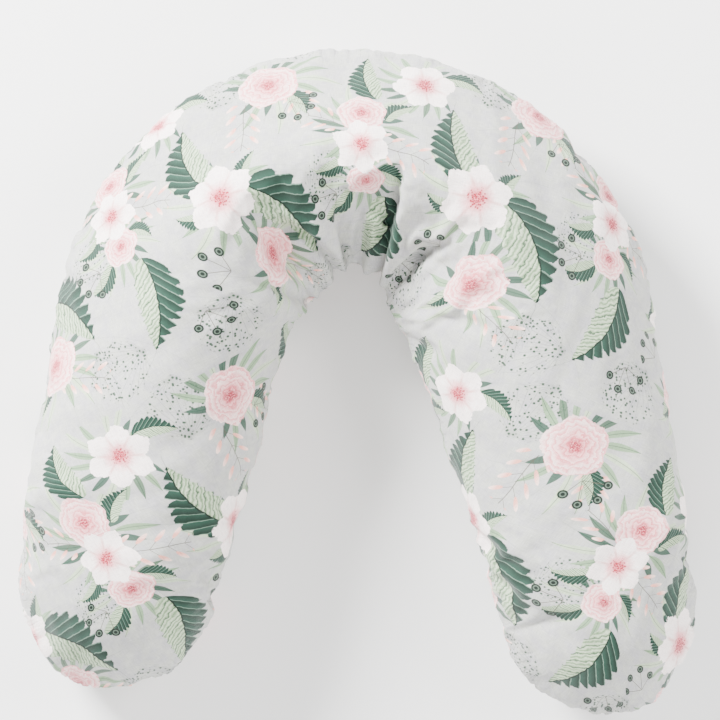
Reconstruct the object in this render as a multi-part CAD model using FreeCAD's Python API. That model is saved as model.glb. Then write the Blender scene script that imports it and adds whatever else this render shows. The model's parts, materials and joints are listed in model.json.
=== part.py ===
# A long nursing pillow, bent into a U and lying flat on its lower panel.
# It is a loose printed cover with a coil zip, over a sewn casing packed with fibre fill.
# The origin is the middle of its footprint, on the surface that it rests on: +Z is up,
# the arms point along -Y, and the arm with the zip is on the +X side.
import FreeCAD, Part
import math
import os

V = FreeCAD.Vector

# ---- Driving dimensions, in millimetres and degrees ----

# The pillow's plan and section, measured on the outside of the cover
OUTER_RADIUS = 298.0  # of the bend, along its outer seam
HALF_WIDTH = 115.0  # half the limb's width, all round the bend
TIP_RADIUS = 98.0  # of each rounded tip, that the arm narrows to
ARM_LEAN = 12.0  # how far each arm splays from straight ahead
ARM_LENGTH = {"left": 291.0, "right": 317.0}  # from the bend to the rounded tip
BASE_FLATTENING = 40.0  # how much of the round tube the surface under the pillow presses flat

# Cloth layers, from the outside in
COVER_CLOTH = 1.0
COVER_EASE = 4.2  # how much smaller the casing is than the inside of the cover
CASING_CLOTH = 0.8
FILL_CLEARANCE = 1.2  # between the casing and the fill
LAYER_CLEARANCE = 0.15  # between pieces of cloth that lie on each other
THREAD_WIDTH = 1.6  # of a line of overlock stitches
THREAD_THICKNESS = 0.6

# The bend, where one arm swings against the other
KNUCKLE_MARGIN = 14.0  # how far the round joint reaches past the limb's half width
BEND_CLEARANCE = 1.0

# The zip, set in the lower panel along the right arm's outer side
ZIP_ROLL = 28.0  # how far round the arm it is, down from the seam
CHAIN_LENGTH = 280.0  # of the coils, from the bottom stop to the top stops
ZIP_START = 18.0  # of the coils, from where the arm leaves the bend
ZIP_SLOT = 10.8  # the gap between the panels' folded edges
TAPE_WIDTH = 14.0
TAPE_THICKNESS = 0.6
TAPE_TAIL = 9.0  # of each tape, past the stops
COIL_WIDTH = 2.5
COIL_HEIGHT = 1.9
CHAIN_GAP = 1.3  # between the two coils, where the slider's post runs
STOP_LENGTH = 3.0
STOP_THICKNESS = 0.7
TACK_LENGTH = 1.8  # of the bar of stitches across each end of the slot
TACK_THICKNESS = 0.7
UNDERLAP_WIDTH = 30.0
UNDERLAP_THICKNESS = 0.7

# The slider and its pull tab
RUNNING_CLEARANCE = 0.4  # between the slider and what it runs on
SLIDER_LENGTH = 11.0
SLIDER_FRONT_WIDTH = 9.8
SLIDER_REAR_WIDTH = 9.0
SLIDER_CHAMFER = 1.2
SLIDER_PLATE = 1.0
POST_LENGTH = 3.0
POST_WIDTH = 0.6
BRIDGE_WIDTH = 2.4
BRIDGE_WALL = 1.0
BRIDGE_EYE_RADIUS = 1.2
BRIDGE_SEAT = 0.3  # from the front plate up to the eye
PULL_BAR_RADIUS = 0.75
PULL_ARM_WIDTH = 1.4
PULL_SIDE_CLEARANCE = 0.4
PULL_WINDOW_LENGTH = 4.8
PULL_LENGTH = 27.0
PULL_TIP_WIDTH = 6.4
PULL_HOLE_RADIUS = 1.3

# The woven label, blank, sewn in below the seam beyond the zip
LABEL_LENGTH = 32.0
LABEL_DROP = 46.0
LABEL_THICKNESS = 0.35
LABEL_SETBACK = 30.0  # from the zip's first tail, back round the bend

# ---- Values worked out from those above ----

SEAM_HEIGHT = HALF_WIDTH - BASE_FLATTENING  # of the seam's plane above that surface
BEYOND = 1000.0  # cutting tools reach this far, past everything
BEND_RADIUS = OUTER_RADIUS - HALF_WIDTH
KNUCKLE_RADIUS = HALF_WIDTH + KNUCKLE_MARGIN
LEAN = math.radians(ARM_LEAN)
TIP_DROP = BEND_RADIUS * (1 - math.sin(LEAN)) + ARM_LENGTH["right"] * math.cos(LEAN) + TIP_RADIUS
AXIS_X = (ARM_LENGTH["left"] - ARM_LENGTH["right"]) * math.sin(LEAN) / 2
AXIS_Y = (TIP_DROP - HALF_WIDTH) / 2  # where the axis of the bend's joint is
CASING_INSET = COVER_CLOTH + COVER_EASE
CASING_INSIDE = CASING_INSET + CASING_CLOTH
FILL_INSET = CASING_INSIDE + FILL_CLEARANCE
CASING_FLOOR = COVER_CLOTH + LAYER_CLEARANCE
FILL_FLOOR = CASING_FLOOR + CASING_CLOTH + LAYER_CLEARANCE

# Heights over the cover's surface, outwards, of what makes up the zip
TAPE_INSET = COVER_CLOTH + LAYER_CLEARANCE
COIL_BASE = LAYER_CLEARANCE - TAPE_INSET
COIL_TOP = COIL_BASE + COIL_HEIGHT
COIL_EDGE = CHAIN_GAP / 2 + COIL_WIDTH
TAPE_BACK = -TAPE_INSET - TAPE_THICKNESS
PLATE_BASE = COIL_TOP + RUNNING_CLEARANCE
PLATE_TOP = PLATE_BASE + SLIDER_PLATE
BACK_PLATE_TOP = TAPE_BACK - RUNNING_CLEARANCE
BACK_PLATE_BASE = BACK_PLATE_TOP - SLIDER_PLATE
EYE_HEIGHT = PLATE_TOP + BRIDGE_SEAT + BRIDGE_EYE_RADIUS
UNDERLAP_INSET = RUNNING_CLEARANCE - BACK_PLATE_BASE

# Distances along the zip, from the bottom end of its coils
ZIP_ENDS = (-STOP_LENGTH - TAPE_TAIL, CHAIN_LENGTH + STOP_LENGTH + TAPE_TAIL)
SLIDER_FRONT = CHAIN_LENGTH - RUNNING_CLEARANCE  # where the closed slider's front is
SLIDER_REAR = SLIDER_FRONT - SLIDER_LENGTH
SLIDER_TRAVEL = SLIDER_REAR - RUNNING_CLEARANCE
PULL_PIVOT = SLIDER_REAR + SLIDER_LENGTH / 2


# ---- The stuffed limb ----


def bend_centre():
    """The centre of the bend, on the seam's plane."""
    return V(AXIS_X, AXIS_Y - BEND_RADIUS, SEAM_HEIGHT)


def outward():
    """Where the right arm's outer side faces."""
    return V(math.cos(LEAN), math.sin(LEAN), 0)


def forward():
    """The right arm's direction, from the bend to its tip."""
    return outward().cross(V(0, 0, 1))


def shoulder():
    """The middle of the limb where the right arm leaves the bend."""
    return bend_centre() + outward() * BEND_RADIUS


def arm(length, inset):
    """The right arm, of a given length, with its rounded tip."""
    tip = shoulder() + forward() * length
    cone = Part.makeCone(HALF_WIDTH - inset, TIP_RADIUS - inset, length, shoulder(), forward())
    end = Part.makeSphere(TIP_RADIUS - inset, tip, forward(), 0, 90, 360)
    return cone, end


def limb(inset):
    """The whole limb as one solid, smaller all round by inset."""
    ring = Part.Face(Part.Wire(Part.makeCircle(HALF_WIDTH - inset, shoulder(), forward())))
    bend = ring.revolve(bend_centre(), V(0, 0, 1), 180 - 2 * ARM_LEAN)
    right = arm(ARM_LENGTH["right"], inset)
    left = [piece.mirror(bend_centre(), V(1, 0, 0)) for piece in arm(ARM_LENGTH["left"], inset)]
    return bend.fuse([*right, *left])


def slab(low, high):
    """Everything between two heights."""
    corner = V(-BEYOND, -BEYOND, low)
    return Part.makeBox(2 * BEYOND, 2 * BEYOND, high - low, corner)


def settled(inset, floor):
    """The limb, smaller by inset and flattened where it lies at the height of floor."""
    return limb(inset).common(slab(floor, BEYOND))


def upright_cylinder(radius):
    """A cylinder on the bend's axis."""
    return Part.makeCylinder(radius, 2 * BEYOND, V(AXIS_X, AXIS_Y, -BEYOND))


def side_tools():
    """What belongs to each arm. The right one keeps the round knuckle that the left turns on."""
    corner = V(AXIS_X - BEYOND, -BEYOND, -BEYOND)
    left = Part.makeBox(BEYOND, 2 * BEYOND, 2 * BEYOND, corner)
    right = left.translated(V(BEYOND, 0, 0)).fuse(upright_cylinder(KNUCKLE_RADIUS))
    return {"left": left.cut(upright_cylinder(KNUCKLE_RADIUS + BEND_CLEARANCE)), "right": right}


def by_side(name, shape, nodes):
    """Adds a layer's left and right parts, named for their side."""
    for side, tool in side_tools().items():
        nodes[f"{name}_{side}"] = shape.common(tool)


# ---- Cover, casing and fill ----


def panels(inset, cloth, floor):
    """The upper and lower panel of a bag of cloth, which meet at the seam."""
    bag = settled(inset, floor).cut(settled(inset + cloth, floor + cloth))
    upper = bag.common(slab(SEAM_HEIGHT, BEYOND))
    lower = bag.common(slab(-BEYOND, SEAM_HEIGHT))
    return upper, lower


def cloth_strip(inset, thickness, box):
    """A strip that follows the limb's surface inside the cover, trimmed by a box."""
    return limb(inset).cut(limb(inset + thickness)).common(box)


def seam_thread(inset):
    """The line of overlock stitches inside a bag, just below its seam."""
    top = SEAM_HEIGHT - LAYER_CLEARANCE
    return cloth_strip(inset, THREAD_THICKNESS, slab(top - THREAD_WIDTH, top))


# ---- Where the zip lies ----


def seam_frame():
    """A frame on the right arm's outer seam: X runs towards the tip, Y outwards and Z up."""
    start = shoulder() + outward() * HALF_WIDTH
    end = shoulder() + forward() * ARM_LENGTH["right"] + outward() * TIP_RADIUS
    along = (end - start).normalize()
    turn = math.degrees(math.atan2(along.y, along.x))
    return FreeCAD.Placement(start + along * ZIP_START, FreeCAD.Rotation(V(0, 0, 1), turn))


def zip_frame():
    """The frame that zip pieces are drawn in: the seam's, rolled down round the arm."""
    roll = FreeCAD.Rotation(forward(), -ZIP_ROLL)
    return FreeCAD.Placement(V(0, 0, 0), roll, shoulder()).multiply(seam_frame())


def placed(shape):
    """A shape drawn in the zip's frame, moved to where the zip is."""
    return shape.transformed(zip_frame().toMatrix())


def brick(along, out, up):
    """A box in the zip's own frame, from its (low, high) along the zip, outwards and up."""
    corner = V(along[0], out[0], up[0])
    return Part.makeBox(along[1] - along[0], out[1] - out[0], up[1] - up[0], corner)


def zip_strip(inset, thickness, along, up):
    """A strip of cloth behind the zip, following the limb's surface."""
    near = (-HALF_WIDTH / 2, HALF_WIDTH / 2)
    return cloth_strip(inset, thickness, placed(brick(along, near, up)))


def mirrored(shape):
    """The lower twin of an upper zip piece drawn in the zip's own frame."""
    return shape.mirror(V(0, 0, 0), V(0, 0, 1))


# ---- Zip ----


def slot():
    """What the zip takes out of the cover."""
    near = (-HALF_WIDTH / 2, HALF_WIDTH / 2)
    along = (-STOP_LENGTH - TACK_LENGTH, CHAIN_LENGTH + STOP_LENGTH + TACK_LENGTH)
    return placed(brick(along, near, (-ZIP_SLOT / 2, ZIP_SLOT / 2)))


def upper_coil():
    """Half of the chain: a bar with a rounded back, as wide and high as the wound coil."""
    bar = brick((0, CHAIN_LENGTH), (COIL_BASE, COIL_TOP), (CHAIN_GAP / 2, COIL_EDGE))
    backs = [
        edge
        for edge in bar.Edges
        if all(v.Y > COIL_TOP - 0.01 and v.Z > COIL_EDGE - 0.01 for v in edge.Vertexes)
    ]
    return bar.makeFillet(COIL_HEIGHT / 3, backs)


def upper_top_stop():
    """A stop folded round the edge of the upper tape, that the closed slider rests against."""
    along = (CHAIN_LENGTH, CHAIN_LENGTH + STOP_LENGTH)
    low = CHAIN_GAP / 2 - LAYER_CLEARANCE
    front = brick(along, (COIL_BASE, COIL_TOP), (low - STOP_THICKNESS / 2, COIL_EDGE))
    back_top = TAPE_BACK - LAYER_CLEARANCE
    back = brick(along, (back_top - STOP_THICKNESS, back_top), (low - STOP_THICKNESS / 2, COIL_EDGE))
    web = brick(along, (back_top - STOP_THICKNESS, COIL_TOP), (low - STOP_THICKNESS / 2, low))
    return front.fuse([back, web]).removeSplitter()


def bottom_stop():
    """One stop across both tapes, where the opened slider ends."""
    along = (-STOP_LENGTH, 0)
    back_top = TAPE_BACK - LAYER_CLEARANCE
    front = brick(along, (COIL_BASE, COIL_TOP), (-COIL_EDGE, COIL_EDGE))
    back = brick(along, (back_top - STOP_THICKNESS, back_top), (-COIL_EDGE, COIL_EDGE))
    web = brick(along, (back_top - STOP_THICKNESS, COIL_TOP), (-POST_WIDTH / 2, POST_WIDTH / 2))
    return front.fuse([back, web]).removeSplitter()


def bar_tack(start):
    """A bar of stitches over the coils' ends, across the slot."""
    half = ZIP_SLOT / 2 - LAYER_CLEARANCE
    return brick((start, start + TACK_LENGTH), (COIL_BASE, COIL_BASE + TACK_THICKNESS), (-half, half))


def slider_plate(base):
    """A plate of the slider, wider towards the front, where the coils come together."""
    front = SLIDER_FRONT_WIDTH / 2
    rear = SLIDER_REAR_WIDTH / 2
    half = [
        V(SLIDER_REAR, base, rear - SLIDER_CHAMFER),
        V(SLIDER_REAR + SLIDER_CHAMFER, base, rear),
        V(SLIDER_FRONT - 2 * SLIDER_CHAMFER, base, front),
        V(SLIDER_FRONT, base, front - 2 * SLIDER_CHAMFER),
    ]
    corners = half + [V(p.x, p.y, -p.z) for p in reversed(half)]
    face = Part.Face(Part.makePolygon(corners + corners[:1]))
    return face.extrude(V(0, SLIDER_PLATE, 0))


def bridge():
    """The arch on the slider's front plate that the pull's bar goes through."""
    radius = BRIDGE_EYE_RADIUS + BRIDGE_WALL
    half = BRIDGE_WIDTH / 2
    reach = (PULL_PIVOT - radius, PULL_PIVOT + radius)
    arch = Part.makeCylinder(radius, BRIDGE_WIDTH, V(PULL_PIVOT, EYE_HEIGHT, -half))
    foot = brick(reach, (PLATE_BASE + SLIDER_PLATE / 2, EYE_HEIGHT), (-half, half))
    below = brick(reach, (EYE_HEIGHT - 2 * radius, PLATE_BASE + SLIDER_PLATE / 2), (-half, half))
    eye = Part.makeCylinder(BRIDGE_EYE_RADIUS, 2 * BRIDGE_WIDTH, V(PULL_PIVOT, EYE_HEIGHT, -2 * half))
    return arch.fuse(foot).cut([below, eye])


def slider():
    """Front and back plates on one post, flanges that hold the coils, and the pull's bridge."""
    front_plate = slider_plate(PLATE_BASE)
    back_plate = slider_plate(BACK_PLATE_BASE)
    post_end = SLIDER_FRONT - 2 * SLIDER_CHAMFER
    post = brick(
        (post_end - POST_LENGTH, post_end),
        (BACK_PLATE_BASE + SLIDER_PLATE / 2, PLATE_BASE + SLIDER_PLATE / 2),
        (-POST_WIDTH / 2, POST_WIDTH / 2),
    )
    flange = brick(
        (SLIDER_REAR + SLIDER_CHAMFER, SLIDER_FRONT - 3 * SLIDER_CHAMFER),
        (RUNNING_CLEARANCE - TAPE_INSET, PLATE_BASE + SLIDER_PLATE / 2),
        (COIL_EDGE + RUNNING_CLEARANCE, SLIDER_REAR_WIDTH / 2),
    )
    return front_plate.fuse([back_plate, post, flange, mirrored(flange), bridge()]).removeSplitter()


def pull():
    """The pull tab, lying back along the closed chain, with its bar through the bridge."""
    inner = BRIDGE_WIDTH / 2 + PULL_SIDE_CLEARANCE
    outer = inner + PULL_ARM_WIDTH
    low = EYE_HEIGHT - PULL_BAR_RADIUS
    thick = 2 * PULL_BAR_RADIUS
    head = V(PULL_PIVOT, low, outer)
    neck = V(PULL_PIVOT + PULL_BAR_RADIUS - PULL_LENGTH + PULL_TIP_WIDTH / 2, low, PULL_TIP_WIDTH / 2)
    tip = V(neck.x - PULL_TIP_WIDTH / 2, low, 0)
    low_head = V(head.x, low, -head.z)
    low_neck = V(neck.x, low, -neck.z)
    outline = [
        Part.LineSegment(low_head, head).toShape(),
        Part.LineSegment(head, neck).toShape(),
        Part.Arc(neck, tip, low_neck).toShape(),
        Part.LineSegment(low_neck, low_head).toShape(),
    ]
    tab = Part.Face(Part.Wire(outline)).extrude(V(0, thick, 0))
    window = brick(
        (PULL_PIVOT - PULL_WINDOW_LENGTH, PULL_PIVOT + thick),
        (low - thick, low + 2 * thick),
        (-inner, inner),
    )
    hole = Part.makeCylinder(PULL_HOLE_RADIUS, 3 * thick, V(neck.x, low - thick, 0), V(0, 1, 0))
    bar = Part.makeCylinder(PULL_BAR_RADIUS, 2 * outer, V(PULL_PIVOT, EYE_HEIGHT, -outer))
    return tab.cut([window, hole]).fuse(bar)


def label():
    """The woven label, hanging inside the cover from the seam, beyond the zip."""
    end = ZIP_ENDS[0] - LABEL_SETBACK
    top = -THREAD_WIDTH - 2 * LAYER_CLEARANCE
    near = (-HALF_WIDTH / 2, HALF_WIDTH / 2)
    box = brick((end - LABEL_LENGTH, end), near, (top - LABEL_DROP, top))
    return cloth_strip(TAPE_INSET, LABEL_THICKNESS, box.transformed(seam_frame().toMatrix()))


# ---- The whole pillow ----


def cloth_nodes():
    """The cover, the casing and the fill, each in a left and a right part."""
    nodes = {}
    cover_top, cover_bottom = panels(0.0, COVER_CLOTH, 0.0)
    by_side("cover_top", cover_top, nodes)
    by_side("cover_bottom", cover_bottom.cut(slot()), nodes)
    by_side("cover_seam_thread", seam_thread(TAPE_INSET), nodes)
    casing_top, casing_bottom = panels(CASING_INSET, CASING_CLOTH, CASING_FLOOR)
    by_side("casing_top", casing_top, nodes)
    by_side("casing_bottom", casing_bottom, nodes)
    by_side("casing_seam_thread", seam_thread(CASING_INSIDE + LAYER_CLEARANCE), nodes)
    by_side("fill", settled(FILL_INSET, FILL_FLOOR), nodes)
    return nodes


def zip_nodes():
    """The zip, its slider and pull tab, and the label beside it."""
    edge = CHAIN_GAP / 2
    half = UNDERLAP_WIDTH / 2
    tack_starts = (-STOP_LENGTH - TACK_LENGTH, CHAIN_LENGTH + STOP_LENGTH)
    return {
        "zip_tape_upper": zip_strip(TAPE_INSET, TAPE_THICKNESS, ZIP_ENDS, (edge, edge + TAPE_WIDTH)),
        "zip_tape_lower": zip_strip(TAPE_INSET, TAPE_THICKNESS, ZIP_ENDS, (-edge - TAPE_WIDTH, -edge)),
        "zip_coil_upper": placed(upper_coil()),
        "zip_coil_lower": placed(mirrored(upper_coil())),
        "zip_top_stops": Part.Compound([placed(upper_top_stop()), placed(mirrored(upper_top_stop()))]),
        "zip_bottom_stop": placed(bottom_stop()),
        "zip_bar_tacks": Part.Compound([placed(bar_tack(start)) for start in tack_starts]),
        "zip_underlap": zip_strip(UNDERLAP_INSET, UNDERLAP_THICKNESS, ZIP_ENDS, (-half, half)),
        "zip_slider": placed(slider()),
        "zip_pull": placed(pull()),
        "cover_label": label(),
    }


def main():
    """Writes every node, and says where the joints are."""
    os.makedirs("parts", exist_ok=True)
    nodes = {**cloth_nodes(), **zip_nodes()}
    for name, shape in sorted(nodes.items()):
        box = shape.BoundBox
        print(
            f"{name:26s} solids {len(shape.Solids)} valid {shape.isValid()} volume {shape.Volume:12.1f}"
            f"  size {box.XLength:.1f} {box.YLength:.1f} {box.ZLength:.1f}"
        )
        shape.exportStep(f"parts/{name}.step")
    pivot = zip_frame().multVec(V(PULL_PIVOT, EYE_HEIGHT, 0))
    opening = zip_frame().Rotation.multVec(V(-1, 0, 0))
    swing = zip_frame().Rotation.multVec(V(0, 0, -1))
    print("slider opens along", [round(c, 6) for c in opening], "for", round(SLIDER_TRAVEL, 3))
    print("pull turns at", [round(c, 3) for c in pivot], "about", [round(c, 6) for c in swing])
    print("arms turn at", round(AXIS_X, 3), round(AXIS_Y, 3))


main()
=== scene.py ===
import json
import math

import bmesh
import bpy
import numpy as np
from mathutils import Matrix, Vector
from mathutils.bvhtree import BVHTree
from mathutils.geometry import delaunay_2d_cdt


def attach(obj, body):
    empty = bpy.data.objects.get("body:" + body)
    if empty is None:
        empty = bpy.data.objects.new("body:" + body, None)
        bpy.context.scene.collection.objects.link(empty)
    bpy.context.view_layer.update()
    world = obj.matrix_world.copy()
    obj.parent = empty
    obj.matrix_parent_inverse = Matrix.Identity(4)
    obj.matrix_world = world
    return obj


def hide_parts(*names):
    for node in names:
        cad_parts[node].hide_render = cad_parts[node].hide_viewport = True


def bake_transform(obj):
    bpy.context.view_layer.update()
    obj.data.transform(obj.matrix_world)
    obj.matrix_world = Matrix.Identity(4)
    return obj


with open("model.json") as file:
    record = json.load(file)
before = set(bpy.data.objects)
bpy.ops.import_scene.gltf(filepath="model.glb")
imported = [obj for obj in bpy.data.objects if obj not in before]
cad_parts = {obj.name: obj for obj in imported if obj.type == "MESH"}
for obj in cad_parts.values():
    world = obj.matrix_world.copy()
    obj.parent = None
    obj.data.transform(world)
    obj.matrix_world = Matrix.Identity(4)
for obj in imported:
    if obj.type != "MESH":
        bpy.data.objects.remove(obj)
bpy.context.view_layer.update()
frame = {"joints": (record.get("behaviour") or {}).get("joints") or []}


# ---- Floor ----
# A seamless sheet of white paper that the pillow lies on, lit evenly as in a product studio.
# It isn't part of the object.

FLOOR_SIZE = 9.0  # metres
PAPER = "#F7F7F6"


def linear(colour, alpha=1.0):
    """An sRGB hex colour as the linear RGBA that shaders take."""
    values = [int(colour[i : i + 2], 16) / 255 for i in (1, 3, 5)]
    return [v / 12.92 if v <= 0.04045 else ((v + 0.055) / 1.055) ** 2.4 for v in values] + [alpha]


def add(tree, kind, inputs=(), out=0, **settings):
    """Adds a shader node, fills or links its inputs by position or name, and returns an output."""
    node = tree.nodes.new("ShaderNode" + kind)
    for name, value in settings.items():
        setattr(node, name, value)
    for key, value in inputs.items() if isinstance(inputs, dict) else enumerate(inputs):
        if isinstance(value, Wire):
            value = value.socket
        if isinstance(value, bpy.types.NodeSocket):
            tree.links.new(value, node.inputs[key])
        elif value is not None:
            node.inputs[key].default_value = value
    return Wire(tree, node.outputs[out])


class Wire:
    """A shader node's output, which does arithmetic by adding Math nodes."""

    def __init__(self, tree, socket):
        self.tree = tree
        self.socket = socket

    def math(self, operation, *others):
        return add(self.tree, "Math", (self, *others), operation=operation)

    def out(self, number):
        """Another output of the same node."""
        return Wire(self.tree, self.socket.node.outputs[number])

    def __add__(self, other):
        return self.math("ADD", other)

    def __sub__(self, other):
        return self.math("SUBTRACT", other)

    def __mul__(self, other):
        return self.math("MULTIPLY", other)

    def __truediv__(self, other):
        return self.math("DIVIDE", other)

    def step(self, low, high, to_low=0.0, to_high=1.0):
        """A smooth step from one value to another as this one goes from low to high."""
        limits = (self, low, high, to_low, to_high)
        return add(self.tree, "MapRange", limits, interpolation_type="SMOOTHSTEP")


def mix(factor, first, second):
    """Two colours mixed by a factor."""
    inputs = {0: factor, 6: first, 7: second}
    return add(factor.tree, "Mix", inputs, out=2, data_type="RGBA")


def new_material(name, finish):
    """An empty material whose shader has the given settings, with its node tree and shader."""
    material = bpy.data.materials.new(name)
    material.use_nodes = True
    tree = material.node_tree
    shader = tree.nodes["Principled BSDF"]
    for key, value in finish.items():
        shader.inputs[key].default_value = value
    return material, tree, shader


def bump(shader, height, distance, strength=1.0, under=None):
    """Raises the surface by a height from 0 to 1 times a distance in metres."""
    inputs = {"Strength": strength, "Distance": distance, "Height": height, "Normal": under}
    raised = add(height.tree, "Bump", inputs)
    height.tree.links.new(raised.socket, shader.inputs["Normal"])
    return raised


def colour(shader, value):
    """Links a colour to the shader's base colour."""
    value.tree.links.new(value.socket, shader.inputs["Base Color"])


def new_piece(name, mesh, material=None):
    """An object in the scene with this mesh, shaded smooth."""
    mesh.shade_smooth()
    piece = bpy.data.objects.new(name, mesh)
    bpy.context.scene.collection.objects.link(piece)
    if material:
        mesh.materials.append(material)
    return piece


def mesh_of(name, points, faces):
    """A mesh from an array of points and a list of faces."""
    mesh = bpy.data.meshes.new(name)
    mesh.from_pydata([tuple(p) for p in points], [], faces)
    mesh.update()
    return mesh


# Matt paper: flat white with a very slight tooth.
paper_finish = {"Roughness": 0.95, "Base Color": linear(PAPER)}
floor_paper, tree, shader = new_material("matt_paper", paper_finish)
bump(shader, add(tree, "TexNoise", {"Scale": 900.0, "Detail": 2.0}), 0.0002, 0.05)

half = FLOOR_SIZE / 2
corners = [(-half, -half, 0), (half, -half, 0), (half, half, 0), (-half, half, 0)]
floor = new_piece("studio_floor", mesh_of("studio_floor", corners, [(0, 1, 2, 3)]), floor_paper)


# ---- Lights and camera ----
# Large soft lamps round a bright room, so that shade falls off gently, and a camera that
# looks straight down through a long lens.

ROOM_LIGHT = 0.9
LAMPS = (  # place, width in metres, watts
    ((-1.9, 1.9, 1.6), 1.1, 560.0),
    ((2.3, 0.8, 1.9), 1.8, 120.0),
    ((0.3, -2.5, 1.7), 2.0, 90.0),
)
VIEW_CENTRE = Vector((0.0025, 0.0205, 0.075))
VIEW_WIDTH = 0.72
LENS = 150.0
SENSOR = 36.0

world = bpy.data.worlds.new("studio")
bpy.context.scene.world = world
world.use_nodes = True
background = world.node_tree.nodes["Background"]
background.inputs["Color"].default_value = linear("#FFFFFF")
background.inputs["Strength"].default_value = ROOM_LIGHT
for place, width, watts in LAMPS:
    lamp = bpy.data.lights.new("softbox", "AREA")
    lamp.size = width
    lamp.energy = watts
    holder = bpy.data.objects.new("softbox", lamp)
    holder.location = place
    holder.rotation_euler = (VIEW_CENTRE - Vector(place)).to_track_quat("-Z", "Y").to_euler()
    bpy.context.scene.collection.objects.link(holder)

camera = bpy.data.objects.new("camera", bpy.data.cameras.new("camera"))
camera.data.lens = LENS
camera.data.sensor_width = SENSOR
camera.location = VIEW_CENTRE + Vector((0, 0, VIEW_WIDTH * LENS / SENSOR))
bpy.context.scene.collection.objects.link(camera)
bpy.context.scene.camera = camera


# ---- Cover ----
# Two printed cotton panels cut to the same wide C, sewn together all round and turned, so
# that the seam's edges are inside. The stuffed casing rounds them out into a U-shaped tube,
# which puckers along the seam and creases where it bends.


def joint_of(name):
    """The frame's joint of this name."""
    return next(joint for joint in frame["joints"] if joint["name"] == name)


# The stuffed shape in plan, in metres and radians. The bend's centre is the one in the CAD.
BEND_AXIS = np.array(joint_of("arm_bend")["pos_m"][:2])
BEND_RADIUS = 0.183  # of the centre line
BEND_CENTRE = BEND_AXIS - (0, BEND_RADIUS)
HALF_SWEEP = math.radians(78.0)
ARM_LENGTH = {-1: 0.291, 1: 0.317}  # the left arm's straight part and the right one's
SEAM_HEIGHT = 0.075

# The flat cut
CUT_HALF_TURN = math.radians(49.0)
CUT_EASE = 1.03  # the cut's centre line over the stuffed one's
CUT_HALF_WIDTH = 0.160
CUT_TIP_HALF_WIDTH = 0.128
CUT_TIP_REACH = 0.118
CUT_RADIUS = BEND_RADIUS * HALF_SWEEP * CUT_EASE / CUT_HALF_TURN
CUT_GAP = 0.003  # between the flat panels, to each side of the seam's plane
CLOTH_STEP = 0.0065  # between the simulated cloth's points
EDGE_SPACE = 0.6  # of a step, between the edge and the first point inside it
ROUNDING = 2 / math.pi  # a round tube's radius over the half width of its two flat panels
TIP_START_REACH = 0.8

# How the cloth is sewn and stuffed: it goes from a tube's size to its cut's, under pressure.
CLOTH_FRAMES = 16
CUT_BY_FRAME = 4
CLOTH = {
    "quality": 5,
    "mass": 0.02,
    "tension_stiffness": 30.0,
    "compression_stiffness": 10.0,
    "shear_stiffness": 6.0,
    "bending_stiffness": 1.2,
    "tension_damping": 10.0,
    "compression_damping": 5.0,
    "shear_damping": 5.0,
    "air_damping": 2.0,
    "use_pressure": True,
    "uniform_pressure_force": 15.0,
    "use_dynamic_mesh": True,
}

# How the stuffed limb settles, in metres. Outer and inner are from the centre line.
STATIONS = (0.0, 0.13, 0.25, 0.36, 0.46, 0.56)  # along the limb, from the middle of the bend
OUTER_WIDTH = (0.113, 0.116, 0.119, 0.113, 0.106, 0.099)
INNER_STATIONS = (0.0, 0.06, 0.12, 0.18, 0.25, 0.31, 0.38, 0.46, 0.56)
INNER_WIDTH = {
    -1: (0.106, 0.119, 0.126, 0.128, 0.119, 0.112, 0.112, 0.106, 0.100),
    1: (0.106, 0.120, 0.131, 0.138, 0.134, 0.124, 0.115, 0.106, 0.100),
}
TOP_HEIGHT = (0.108, 0.110, 0.110, 0.106, 0.101, 0.094)
TIP_REACH = 0.103
TIP_SQUARENESS = 2.15
TIP_DROOP = 0.018  # how much lower the seam is at each tip's end
DROOP_START = 0.12  # before the tip
BASE_SOFTNESS = 0.004
CORE = 0.02  # the width in the middle over which one side's scale gives way to the other's
SETTLE_ROUNDS = 3
MEASURES = 28  # places along each arm where its width is taken
LAST_MEASURE = 0.9  # of the tip's reach

# The zip's frame, from its joints: X runs to the tip, Y outwards and Z up the arm's side.
ZIP_PIVOT_ALONG = 0.2741
ZIP_PIVOT_ABOVE = 0.0038
ZIP_ARM_RADIUS = 0.106  # of the arm's side there
zip_x = -np.array(joint_of("zip_slide")["axis"])
zip_z = -np.array(joint_of("pull_swing")["axis"])
ZIP_AXES = np.array([zip_x, np.cross(zip_z, zip_x), zip_z])
ZIP_PIVOT = np.array(joint_of("pull_swing")["pos_m"])
ZIP_ORIGIN = ZIP_PIVOT - ZIP_PIVOT_ALONG * ZIP_AXES[0] - ZIP_PIVOT_ABOVE * ZIP_AXES[1]

# The slot for the zip, and where the cloth lies level round it: fully, and no longer
SLOT = (-0.0048, 0.2848)  # along the zip
SLOT_HALF_WIDTH = 0.0054
SLOT_DEPTH = 0.02  # cloth that lies deeper than this is the arm's other side
NEAR_SLOT = (0.01, 0.014)  # past its ends and from its middle line: cloth that its edges may cut
LEVEL_WIDTH = (0.012, 0.046)  # from the zip's line
LEVEL_BEFORE = (0.016, 0.06)  # before its start
LEVEL_BEYOND = (0.296, 0.335)  # along it
LEVEL_DEPTH = 0.06

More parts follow.
